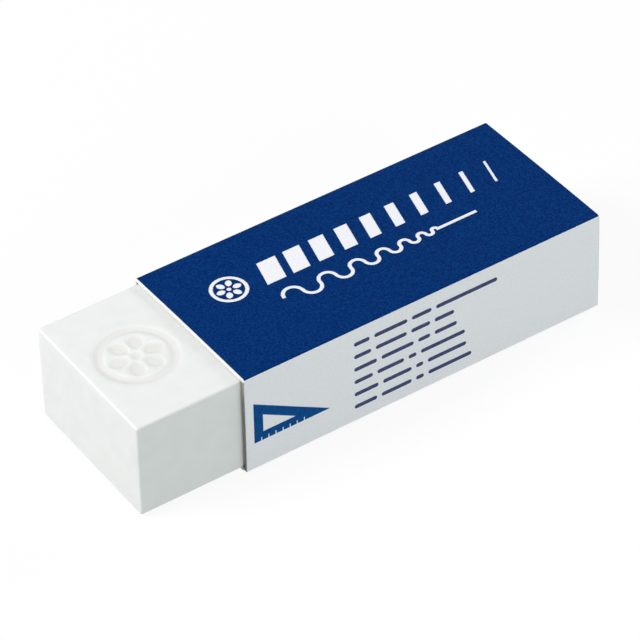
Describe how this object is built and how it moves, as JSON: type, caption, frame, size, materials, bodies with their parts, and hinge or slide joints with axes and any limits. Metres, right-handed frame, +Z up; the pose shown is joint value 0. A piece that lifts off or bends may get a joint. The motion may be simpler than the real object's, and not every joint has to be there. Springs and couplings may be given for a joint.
{
  "type": "plastic eraser",
  "caption": "Block eraser of soft white vinyl that slides in a folded card sleeve with a blue printed top and small print on its near side.",
  "frame": {"origin": "centre of the whole footprint, on the surface that the sleeve stands on", "axes": "+X along the print, from the block's exposed end to the sleeve's back end; +Y across, away from the printed side; +Z up"},
  "size_m": [0.0654, 0.0228, 0.0143],
  "materials": {
    "white_vinyl": "matte",
    "white_card": "matte",
    "dark_blue_ink": "satin",
    "mid_blue_ink": "satin",
    "slate_ink": "satin"
  },
  "bodies": {
    "sleeve": {"card_sleeve": "white_card", "top_print": "dark_blue_ink", "bottom_print": "dark_blue_ink", "side_set_square": "mid_blue_ink", "side_dashes": "slate_ink"},
    "eraser": {"eraser_block": "white_vinyl"}
  },
  "joints": [
    {"name": "block_slide", "type": "slide", "parent": "sleeve", "child": "eraser", "axis": [-1, 0, 0], "range_m": [-0.0139, 0.0512]}
  ]
}
